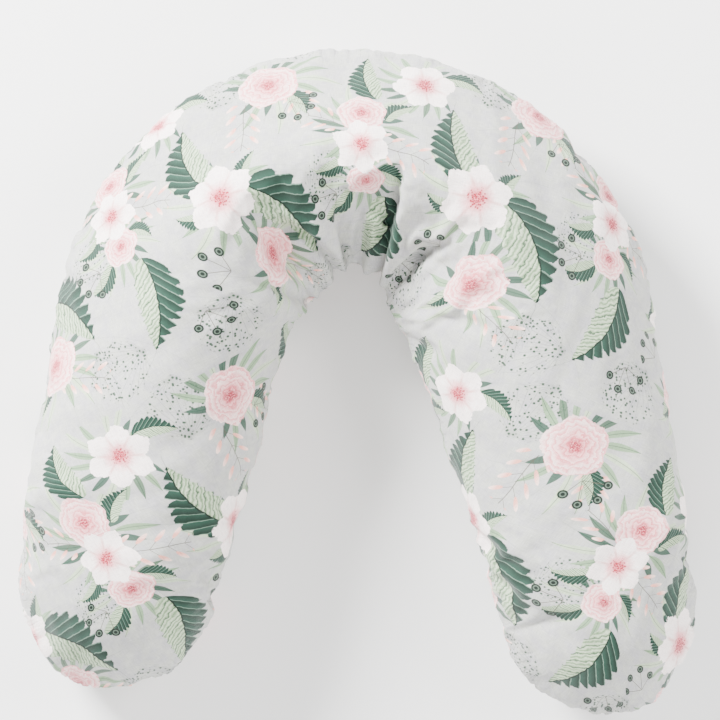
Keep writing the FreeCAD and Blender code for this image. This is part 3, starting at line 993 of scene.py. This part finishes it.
# Printed cotton: a plain weave in pale grey with slubs, printed with a watercolour of flowers
# in a half-drop repeat. It is matt, with a faint fuzz.
cotton_finish = {"Roughness": 0.88, "Specular IOR Level": 0.25}
cotton_finish |= {"Sheen Weight": 0.18, "Sheen Roughness": 0.5}
printed_cotton, tree, shader = new_material("printed_cotton", cotton_finish)
on_cut = add(tree, "UVMap", uv_map="cut")
on_cloth = add(tree, "VectorMath", {0: on_cut, "Scale": 1000.0}, operation="SCALE")
from_print = add(tree, "VectorMath", (on_cloth, (*PRINT_AT, 0)), operation="SUBTRACT")
across = add(tree, "SeparateXYZ", (from_print,))
up = across.out(1)
row = ((up - ROW_START) / DROP[1]).math("FLOOR")
where = add(tree, "CombineXYZ", (across - row * DROP[0], up - row * DROP[1]))
ragged = (add(tree, "TexNoise", {"Vector": on_cloth, "Scale": 0.17, "Detail": 3.0}) - 0.5) * 7.0
washed = add(tree, "TexNoise", {"Vector": on_cloth, "Scale": 0.09, "Detail": 3.0})
mottled = add(tree, "TexNoise", {"Vector": on_cloth, "Scale": 0.8, "Detail": 1.0}).step(0.35, 0.6)

printed = mix(washed.step(0.35, 0.68), linear(GROUND[0]), linear(GROUND[1]))
for painter, places in (
    (paint_sprigs, SPRIGS),
    (paint_sprays, SPRAYS),
    (paint_buds, BUDS),
    (paint_leaves, LEAVES),
    (paint_berries, BERRIES),
    (paint_roses, ROSES),
    (paint_blossoms, BLOSSOMS),
):
    printed = painter(printed, nearest(where, places))

# Slubs are thicker stretches of thread, so they are drawn long along each thread.
slubs = []
for stretch in ((0.12, 1.9, 1.0), (1.9, 0.12, 1.0)):
    drawn = add(tree, "Mapping", {0: on_cloth, 3: stretch})
    slubs.append(add(tree, "TexNoise", {"Vector": drawn, "Scale": 1.0, "Detail": 1.0}))
shading = (slubs[0] + slubs[1] - 1.0) * 0.6 + (washed - 0.5) * 0.16 + 1.0
colour(shader, add(tree, "VectorMath", {0: printed, "Scale": shading}, operation="SCALE"))
warp = add(tree, "SeparateXYZ", (on_cloth,))
threads = [(thread * (2 * math.pi / WEAVE)).math("SINE") for thread in (warp, warp.out(1))]
weave = bump(shader, threads[0] * threads[1] * 0.5 + 0.5, 0.00012, 0.6)
on_seam = add(tree, "SeparateXYZ", (add(tree, "UVMap", uv_map="seam"),))
gather_at = add(tree, "CombineXYZ", (on_seam * 150.0, on_seam.out(1) * 22.0))
gathers = add(tree, "TexNoise", {"Vector": gather_at, "Scale": 1.0, "Detail": 2.0})
bump(shader, (gathers - 0.5) * on_seam.out(1).step(0.045, 0.0), 0.006, 0.7, weave)

seam = np.column_stack([run, away])
lower_flat = fine_flat * (-1, 1) + LOWER_PRINT_SHIFT
for number, name, on_panel, nodes in (
    (0, "cover_upper_panel", fine_flat, ("cover_top_left", "cover_top_right")),
    (1, "cover_lower_panel", lower_flat, ("cover_bottom_left", "cover_bottom_right")),
):
    mine = part_of(fine, quads[quad_panel == number], on_panel, seam)
    panel = new_piece(name, cloth_panel(name, *mine), printed_cotton)
    if number == 1:
        open_slot(panel.data)
    thicken(panel, COVER_CLOTH)
    soft(panel, "printed_cotton", *nodes)


# ---- Casing ----
# A plain cotton casing inside the printed cover, cut to the same shape and sewn shut round the
# filling. It can only be seen through the open zip.

CASING_INSET = 0.0056
CASING_CLEARANCE = 0.0018

# The casing lies deeper behind the zip and behind the creases inside the bend. Each pair is
# where it does so fully, and where no longer.
ZIP_CLEARANCE = 0.0036
BEHIND_ZIP = (0.017, 0.028)  # from the zip's line
BEFORE_ZIP = (0.014, 0.03)
BEYOND_ZIP = (0.294, 0.31)
CREASE_CLEARANCE = 0.017
BEHIND_CREASES = (-0.040, 0.030)  # from the centre line
BEYOND_CREASES = (0.0, 0.05)  # past the bend
CASING_CLOTH = 0.0007
CALM_ROUNDS = 14  # the casing is drawn tight by its filling, so its creases are shallow


def inside_cover(points, clearance):
    """The points, none nearer to the cover's outside than the clearance, or than the zip needs."""
    x, _, z = in_zip(points).T
    behind_zip = fade(np.abs(z), *BEHIND_ZIP) * fade(-x, *BEFORE_ZIP) * fade(x, *BEYOND_ZIP)
    for i, point in enumerate(points):
        near, facing, _, _ = cover_surface.find_nearest(Vector(point))
        least = clearance + ZIP_CLEARANCE * behind_zip[i]
        if (Vector(point) - near).dot(facing) > -least:
            points[i] = near - facing * least
    return points


def calmed(points, faces, rounds):
    """The points, each moved towards the middle of its neighbours a number of times."""
    faces = np.array(faces)
    ends = np.concatenate([faces[:, [0, 1]], faces[:, [1, 2]], faces[:, [2, 0]]])
    count = np.bincount(ends[:, 0], minlength=len(points))[:, None]
    for _ in range(rounds):
        totals = [np.bincount(ends[:, 0], axis[ends[:, 1]], len(points)) for axis in points.T]
        points = (points + np.stack(totals, 1) / count) / 2
    return points


def inset(points, faces, distance):
    """The points moved inwards along the surface's normals."""
    faces = np.array(faces)
    a, b, c = (points[faces[:, k]] for k in range(3))
    facing = np.cross(b - a, c - a)
    normal = np.zeros_like(points)
    for k in range(3):
        np.add.at(normal, faces[:, k], facing)
    normal /= np.linalg.norm(normal, axis=1, keepdims=True)
    return points - normal * distance


# Bleached cotton: a close plain weave, off white.
casing_finish = {"Roughness": 0.9, "Sheen Weight": 0.15}
casing_cotton, tree, shader = new_material("bleached_cotton", casing_finish)
place = add(tree, "TexCoord", out=3)
thread = add(tree, "TexWave", {"Vector": place, "Scale": 420.0}, bands_direction="X")
crossing = add(tree, "TexWave", {"Vector": place, "Scale": 420.0}, bands_direction="Y")
fleck = add(tree, "TexNoise", {"Vector": place, "Scale": 160.0, "Detail": 3.0})
colour(shader, mix(fleck.step(0.35, 0.7), linear("#EFEDE6"), linear("#E2DFD6")))
bump(shader, thread * crossing, 0.0001, 0.5)

calm = calmed(points, faces, CALM_ROUNDS)
cover_surface = BVHTree.FromPolygons(fine.tolist(), quads.tolist())
_, _, past, offset = along_limb(calm, BEND_CENTRE, BEND_RADIUS, HALF_SWEEP)
behind_creases = CREASE_CLEARANCE * fade(offset, *BEHIND_CREASES) * fade(past, *BEYOND_CREASES)
behind_creases = behind_creases[:, None]
casing_points = inside_cover(inset(calm, faces, CASING_INSET + behind_creases), CASING_CLEARANCE)
for number, name, nodes in (
    (0, "casing_upper_panel", ("casing_top_left", "casing_top_right")),
    (1, "casing_lower_panel", ("casing_bottom_left", "casing_bottom_right")),
):
    mine = part_of(casing_points, np.array(faces)[panel_of == number])
    panel = new_piece(name, mesh_of(name, mine[0], mine[1].tolist()), casing_cotton)
    thicken(panel, CASING_CLOTH)
    soft(panel, "casing_cloth", *nodes)


# ---- Filling ----
# Loose polyester fibre, blown into the casing through the last stretch of its seam, which is
# then sewn shut. It takes the casing's shape and holds it by its own spring.

FILL_INSET = 0.0078
FILL_CLEARANCE = 0.0034

# Fibre: fine tangled strands in soft white tufts.
fibre, tree, shader = new_material("polyester_fibre", {"Roughness": 1.0, "Sheen Weight": 0.4})
place = add(tree, "TexCoord", out=3)
tuft = add(tree, "TexNoise", {"Vector": place, "Scale": 60.0, "Detail": 6.0, "Distortion": 1.4})
colour(shader, mix(tuft.step(0.3, 0.7), linear("#E4E3DF"), linear("#F6F5F2")))
bump(shader, tuft, 0.002, 0.6)

fill_points = inside_cover(inset(calm, faces, FILL_INSET + behind_creases), FILL_CLEARANCE)
filling = new_piece("fibre_filling", mesh_of("fibre_filling", fill_points, faces), fibre)
soft(filling, "fibre_fill", "fill_left", "fill_right")


# ---- Seam stitching ----
# Overlocked seams: a zigzag of three-thread loops that holds each pair of raw edges together,
# inside the cover and inside the casing.

STITCH_PITCH = 0.0028
STITCH_DEPTH = 0.0020
THREAD_RADIUS = 0.00022
COVER_SEAM_INSET = 0.0028  # below the cover's outside
CASING_SEAM_INSET = 0.0080


def tube(path, radius, up=(0.0, 0.0, 1.0), sides=5):
    """The points and faces of a thin tube along a path, closed at both ends."""
    path = np.asarray(path, float)
    forward = np.gradient(path, axis=0)
    forward /= np.linalg.norm(forward, axis=1, keepdims=True)
    across = np.cross(forward, up)
    across /= np.maximum(np.linalg.norm(across, axis=1, keepdims=True), 1e-9)
    over = np.cross(across, forward)
    turn = np.arange(sides) * 2 * math.pi / sides
    ring = np.cos(turn)[:, None] * across[:, None] + np.sin(turn)[:, None] * over[:, None]
    points = (path[:, None] + radius * ring).reshape(-1, 3)
    i = np.arange(len(path) - 1)[:, None] * sides
    k = np.arange(sides)[None, :]
    n = (k + 1) % sides
    walls = np.stack([i + k, i + n, i + n + sides, i + k + sides], -1).reshape(-1, 4).tolist()
    last = (len(path) - 1) * sides
    return points, walls + [list(range(sides))[::-1], [last + j for j in range(sides)]]


def joined(parts):
    """Several points-and-faces pairs as one."""
    points, faces, start = [], [], 0
    for part_points, part_faces in parts:
        points.append(part_points)
        faces += [[start + v for v in face] for face in part_faces]
        start += len(part_points)
    return np.concatenate(points), faces


def thread_material(name, pale, dark, twist=1500.0):
    """Spun polyester thread: two plies twisted together, with a slight gloss."""
    material, tree, shader = new_material(name, {"Roughness": 0.55, "Sheen Weight": 0.2})
    place = add(tree, "TexCoord", out=3)
    wound = {"Vector": place, "Scale": twist, "Distortion": 1.0}
    ply = add(tree, "TexWave", wound, bands_direction="DIAGONAL")
    colour(shader, mix(ply, linear(dark), linear(pale)))
    bump(shader, ply, 0.00008, 0.6)
    return material


seam_thread = thread_material("overlock_thread", "#E9E8E3", "#C9C7C0")
casing_thread = thread_material("casing_thread", "#F2F1EC", "#D8D6CE")


def zigzag(back, spread):
    """The thread's path round the seam: over the edge and back, once for each stitch."""
    shallow = inset(calm, faces, back + spread)[:edge_count]
    deep = inset(calm, faces, back + STITCH_DEPTH + spread)[:edge_count]
    shallow = inside_cover(shallow, back / 2)
    deep = inside_cover(deep, back / 2 + STITCH_DEPTH)
    step = np.linalg.norm(shallow - np.roll(shallow, 1, 0), axis=1)
    run = np.cumsum(step) - step[0]
    at = np.arange(0, run[-1], STITCH_PITCH / 2)
    near = np.stack([np.interp(at, run, axis) for axis in shallow.T], 1)
    far = np.stack([np.interp(at, run, axis) for axis in deep.T], 1)
    return np.where((np.arange(len(at)) % 2 == 0)[:, None], near, far)


for name, material, path, slot, nodes in (
    (
        "cover_seam_stitching",
        seam_thread,
        zigzag(COVER_SEAM_INSET, 0.0),
        "overlock_thread",
        ("cover_seam_thread_left", "cover_seam_thread_right"),
    ),
    (
        "casing_seam_stitching",
        casing_thread,
        zigzag(CASING_SEAM_INSET, behind_creases),
        "casing_thread",
        ("casing_seam_thread_left", "casing_seam_thread_right"),
    ),
):
    stitching = new_piece(name, mesh_of(name, *tube(path, THREAD_RADIUS)), material)
    soft(stitching, slot, *nodes)


# ---- Zip ----
# A nylon coil zip set into the lower panel along the outer side of one arm: two woven tapes,
# a coil sewn to each, metal stops, and stitches through the cover on both sides of its slot.

# The tapes and the coils sewn to them
TAPE_ENDS = (-0.012, 0.292)
TAPE_WIDTH = (0.00065, 0.01465)  # from the chain's middle
TAPE_DEPTH = (0.00118, 0.00172)  # below the cover's outside
CHAIN_ENDS = (0.001, 0.279)
COIL_PITCH = 0.00135
COIL_STEPS = 12  # points on each turn
COIL_CENTRE = (-0.0001, 0.0017)  # above the cover's outside, and from the chain's middle
COIL_SIZE = (0.00070, 0.00098)  # half its height and half its width
COIL_WIRE = 0.00022
BACKING_WIDTH = 0.015
BACKING_DEPTH = (0.00365, 0.00425)

# The topstitching round the slot
ROW_AT = 0.0081  # from the chain's middle
ROW_PAST_SLOT = 0.003
ROW_PITCH = 0.0031
ROW_STITCH = 0.0023
ROW_THREAD = 0.00021
ROW_ABOVE = 0.0003  # above the cover's outside
ROW_DIP = 0.0007  # into it at both ends of a stitch

# The bar tacks
TACKS_AT = (-0.0012, 0.2812)
TACK_STITCHES = 6
TACK_PITCH = 0.0003
TACK_HALF_WIDTH = 0.0034
TACK_DEPTH = 0.0010
TACK_RISE = 0.0003
TACK_THREAD = 0.00016

# Woven polyester tape: a fine herringbone, with a slightly raised edge.
tape_weave, tree, shader = new_material("zip_tape_weave", {"Roughness": 0.7, "Sheen Weight": 0.15})
place = add(tree, "UVMap", uv_map="along")
x = add(tree, "SeparateXYZ", (place,))
zigzags = (band(x.out(1), 0.002) - 0.5).math("ABSOLUTE") * 0.002
rib = band(x + zigzags, 0.0006)
colour(shader, mix(rib, linear("#B9B8B6"), linear("#D2D1CE")))
bump(shader, (rib - 0.5).math("ABSOLUTE"), 0.0001, 0.8)


def grid_faces(rows, columns):
    """The corners of each square of a grid of points, row by row."""
    i, k = np.meshgrid(np.arange(rows - 1), np.arange(columns - 1), indexing="ij")
    corner = (i * columns + k).ravel()
    return np.stack([corner, corner + 1, corner + 1 + columns, corner + columns], 1)


def sheet_piece(name, points, woven, quads, material, outward, depth):
    """A piece of cloth of some depth below a grid of points, with its places on the cloth."""
    mesh = mesh_of(name, points, quads.tolist())
    set_map(mesh, "along", woven, quads.ravel())
    piece = new_piece(name, mesh, material)
    if mesh.polygons[0].normal.dot(Vector(outward)) < 0:
        mesh.flip_normals()
    thicken(piece, depth)
    return piece


def strip(name, across, depths, material, columns=16, rows=90):
    """A strip of cloth that lies along the zip on the arm's curved side."""
    zs = np.linspace(*across, columns)
    xs = np.linspace(*TAPE_ENDS, rows)
    grid = np.array([[x, side_of_arm(z) - depths[0], z] for x in xs for z in zs])
    woven = grid[:, [0, 2]]
    quads = grid_faces(rows, columns)
    depth = depths[1] - depths[0]
    return sheet_piece(name, from_zip(grid), woven, quads, material, ZIP_AXES[1], depth)


def coil(sign, shift):
    """The points of one half of the chain: a flattened coil of nylon wire."""
    turns = (CHAIN_ENDS[1] - CHAIN_ENDS[0]) / COIL_PITCH
    turn = np.arange(0, turns, 1 / COIL_STEPS) + shift
    swing = 2 * math.pi * turn
    x = CHAIN_ENDS[0] + turn * COIL_PITCH
    y = COIL_CENTRE[0] + COIL_SIZE[0] * np.cos(swing)
    z = sign * (COIL_CENTRE[1] + COIL_SIZE[1] * np.sin(swing))
    return from_zip(np.stack([x, y, z], 1))


# Nylon monofilament: smooth, slightly clear and softly glossy.
nylon_finish = {"Roughness": 0.32, "Coat Weight": 0.2}
nylon_finish |= {"Subsurface Weight": 0.1, "Subsurface Radius": (0.001,) * 3}
nylon, tree, shader = new_material("nylon_coil", nylon_finish)
place = add(tree, "TexCoord", out=3)
draw = add(tree, "TexNoise", {"Vector": place, "Scale": 900.0, "Detail": 2.0})
colour(shader, mix(draw, linear("#C2C1BE"), linear("#D8D7D4")))
bump(shader, draw, 0.00003, 0.4)

for sign, which in ((1, "upper"), (-1, "lower")):
    across = sorted(sign * w for w in TAPE_WIDTH)
    tape = strip(f"zip_{which}_tape", across, TAPE_DEPTH, tape_weave)
    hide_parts(f"zip_tape_{which}")
    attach(tape, "right_arm")
    wire = tube(coil(sign, 0.0 if sign > 0 else 0.5), COIL_WIRE, ZIP_AXES[0])
    half_chain = new_piece(f"zip_{which}_coil", mesh_of(f"zip_{which}_coil", *wire), nylon)
    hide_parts(f"zip_coil_{which}")
    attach(half_chain, "right_arm")

across = (-BACKING_WIDTH, BACKING_WIDTH)
backing = strip("zip_backing", across, BACKING_DEPTH, casing_cotton, columns=24)
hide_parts("zip_underlap")
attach(backing, "right_arm")


def stitch(start, end):
    """One stitch of thread that dips into the cloth at both ends, in the zip's frame."""
    share = np.linspace(0, 1, 6)[:, None]
    path = np.array(start) * (1 - share) + np.array(end) * share
    dip = ROW_DIP * (2 * share[:, 0] - 1) ** 4
    path[:, 1] += side_of_arm(path[:, 2]) + ROW_ABOVE - dip
    return tube(from_zip(path), ROW_THREAD, ZIP_AXES[1])


stitches = []
row_ends = (SLOT[0] - ROW_PAST_SLOT, SLOT[1] + ROW_PAST_SLOT)
for z in (-ROW_AT, ROW_AT):
    for x in np.arange(*row_ends, ROW_PITCH):
        stitches.append(stitch((x, 0, z), (x + ROW_STITCH, 0, z)))
for x in row_ends:
    for z in np.arange(-ROW_AT, ROW_AT - ROW_STITCH, ROW_PITCH):
        stitches.append(stitch((x, 0, z), (x, 0, z + ROW_STITCH)))
stitched = mesh_of("zip_topstitching", *joined(stitches))
topstitching = new_piece("zip_topstitching", stitched, seam_thread)
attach(topstitching, "right_arm")

# Bar tacks: close stitches across the tapes at both ends of the chain.
tacks = []
across = np.linspace(-TACK_HALF_WIDTH, TACK_HALF_WIDTH, 6)
arch = TACK_RISE * np.cos(across * 450) - TACK_DEPTH
for start in TACKS_AT:
    for number in range(TACK_STITCHES):
        along = np.full(6, start + number * TACK_PITCH)
        path = from_zip(np.stack([along, arch, across], 1))
        tacks.append(tube(path, TACK_THREAD, ZIP_AXES[1]))
stitched = mesh_of("zip_bar_tacks_stitched", *joined(tacks))
bar_tacks = new_piece("zip_bar_tacks_stitched", stitched, seam_thread)
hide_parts("zip_bar_tacks")
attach(bar_tacks, "right_arm")

# Die-cast zinc, plated a soft nickel grey, rubbed brighter by use.
plated, tree, shader = new_material("nickel_plated_zinc", {"Metallic": 1.0, "Roughness": 0.3})
place = add(tree, "TexCoord", out=3)
rub = add(tree, "TexNoise", {"Vector": place, "Scale": 350.0, "Detail": 4.0})
colour(shader, mix(rub.step(0.35, 0.65), linear("#B4B3B0"), linear("#D9D8D4")))
shade = rub.step(0.3, 0.7, 0.38, 0.22)
tree.links.new(shade.socket, shader.inputs["Roughness"])
bump(shader, rub, 0.00004, 0.3)

# Stove enamel over zinc: pale grey, smooth, with a faint orange peel, and metal that shows
# at worn edges.
enamel, tree, shader = new_material("grey_enamel", {"Roughness": 0.28, "Coat Weight": 0.4})
place = add(tree, "TexCoord", out=3)
peel = add(tree, "TexNoise", {"Vector": place, "Scale": 700.0, "Detail": 1.0})
worn = add(tree, "NewGeometry", out=7).step(0.54, 0.62) * peel.step(0.4, 0.6)
colour(shader, mix(worn, linear("#C9C9C6"), linear("#9A9994")))
tree.links.new((worn * 0.8).socket, shader.inputs["Metallic"])
bump(shader, peel, 0.00003, 0.25)

for node, material in (
    ("zip_slider", enamel),
    ("zip_pull", enamel),
    ("zip_top_stops", plated),
    ("zip_bottom_stop", plated),
):
    for slot in bpy.data.objects[node].material_slots:
        slot.material = material


# ---- Care label ----
# A folded satin tab, its top hem caught in the seam inside the cover, so that it hangs against
# the cover's inside. It carries no print.

LABEL_SIZE = (0.032, 0.046)  # along the seam, and its drop
LABEL_CLOTH = 0.00035
LABEL_INSET = 0.0014  # below the cover's outside
LABEL_TURN = math.radians(70.3)  # where it is round the bend
LABEL_START = 0.002  # below the seam
LABEL_POINTS = (17, 24)

# Satin: long floats that shine along the weave.
satin_finish = {"Roughness": 0.42, "Anisotropic": 0.5, "Sheen Weight": 0.2}
satin, tree, shader = new_material("white_satin", satin_finish)
place = add(tree, "UVMap", uv_map="along")
floated = {"Vector": place, "Scale": 900.0, "Distortion": 0.6}
floats = add(tree, "TexWave", floated, bands_direction="X")
colour(shader, mix(floats, linear("#E6E5E1"), linear("#F5F4F1")))
bump(shader, floats, 0.00004, 0.4)

shares = (np.linspace(-0.5, 0.5, LABEL_POINTS[0]), np.linspace(0.0, 1.0, LABEL_POINTS[1]))
hem, drop = np.meshgrid(*shares, indexing="ij")
hem = hem.ravel() * LABEL_SIZE[0]
drop = drop.ravel() * LABEL_SIZE[1] + LABEL_START
limb = OUTER_WIDTH[2]
turn = LABEL_TURN + hem / (BEND_RADIUS + limb)
plan = on_limb(BEND_CENTRE, BEND_RADIUS, 1, turn, 0.0, limb * np.cos(drop / limb))
hung = np.column_stack([plan, SEAM_HEIGHT - limb * np.sin(drop / limb)])
for i, point in enumerate(hung):
    near, facing, _, _ = cover_surface.find_nearest(Vector(point))
    hung[i] = near - facing * LABEL_INSET
woven = np.stack([hem, drop], 1)
quads = grid_faces(*LABEL_POINTS)
label = sheet_piece("care_label", hung, woven, quads, satin, (1.0, 0.0, 0.0), LABEL_CLOTH)
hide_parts("cover_label")
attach(label, "right_arm")
